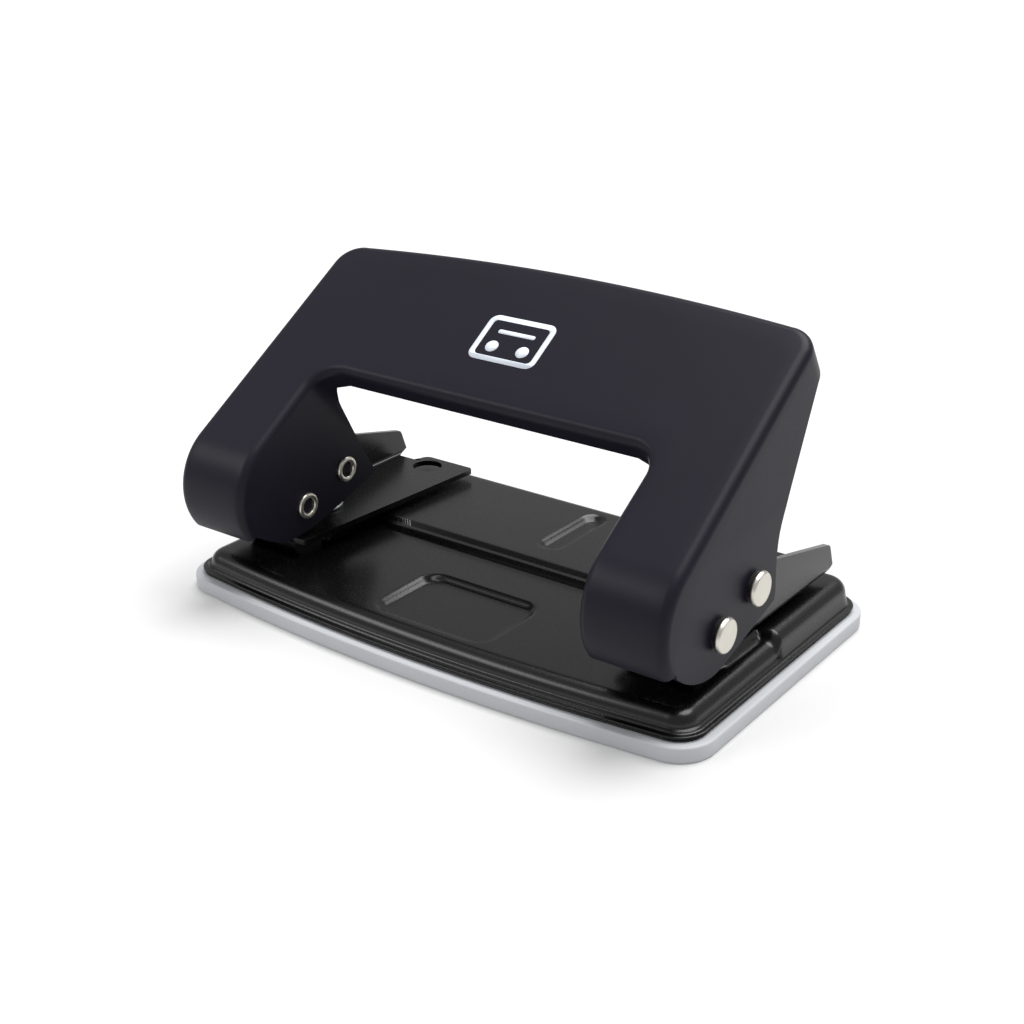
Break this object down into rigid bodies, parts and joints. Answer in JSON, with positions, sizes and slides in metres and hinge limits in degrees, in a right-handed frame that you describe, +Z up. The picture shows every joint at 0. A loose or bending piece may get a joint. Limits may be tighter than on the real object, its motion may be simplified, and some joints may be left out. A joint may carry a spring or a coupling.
{
  "type": "hole punch",
  "caption": "Desk punch for paper: a folded sheet-metal handle on a riveted steel base presses spring-returned punches through a sheet, over a clip-on plastic chip tray.",
  "frame": {"origin": "on the underside, at the middle of the tray's outline, where the punch stands on the desk", "axes": "+X along the line of the two holes, +Y to the rear where the paper goes in, +Z up"},
  "size_m": [0.1024, 0.062, 0.0548],
  "materials": {
    "tray_plastic": "fine moulded texture, light grey",
    "base_steel": "satin black paint on pressed steel",
    "handle_paint": "fine powder coat, near black",
    "nickel_pin": "satin nickel plate",
    "tool_steel": "ground and lightly oiled",
    "spring_wire": "drawn wire, zinc plated"
  },
  "bodies": {
    "base": {"base_plate": "base_steel", "left_bracket": "base_steel", "right_bracket": "base_steel", "bracket_rivets": "nickel_pin", "left_die": "tool_steel", "right_die": "tool_steel", "left_guide": "tool_steel", "right_guide": "tool_steel", "left_spring": "spring_wire", "right_spring": "spring_wire"},
    "tray": {"tray": "tray_plastic"},
    "handle": {"handle": "handle_paint", "left_pivot_pin": "nickel_pin", "right_pivot_pin": "nickel_pin", "left_pusher_pin": "nickel_pin", "right_pusher_pin": "nickel_pin"},
    "left_punch": {"left_punch": "tool_steel", "left_collar": "tool_steel"},
    "right_punch": {"right_punch": "tool_steel", "right_collar": "tool_steel"}
  },
  "joints": [
    {"name": "handle_press", "type": "hinge", "parent": "base", "child": "handle", "pos_m": [0, -0.0152, 0.0153], "axis": [-1, 0, 0], "range_deg": [0, 16], "stiffness_Nm_per_rad": 0.22, "springref_deg": -17.19},
    {"name": "left_punch_slide", "type": "slide", "parent": "base", "child": "left_punch", "axis": [0, 0, -1], "range_m": [0, 0.0029], "deforming": ["left_spring"]},
    {"name": "right_punch_slide", "type": "slide", "parent": "base", "child": "right_punch", "axis": [0, 0, -1], "range_m": [0, 0.0029], "deforming": ["right_spring"]},
    {"name": "tray_clip", "type": "slide", "parent": "base", "child": "tray", "axis": [0, 0, -1], "range_m": [0, 0.02]}
  ],
  "couplings": [
    {"joint": "left_punch_slide", "follows": "handle_press", "m_per_rad": 0.01035},
    {"joint": "right_punch_slide", "follows": "handle_press", "m_per_rad": 0.01035}
  ]
}
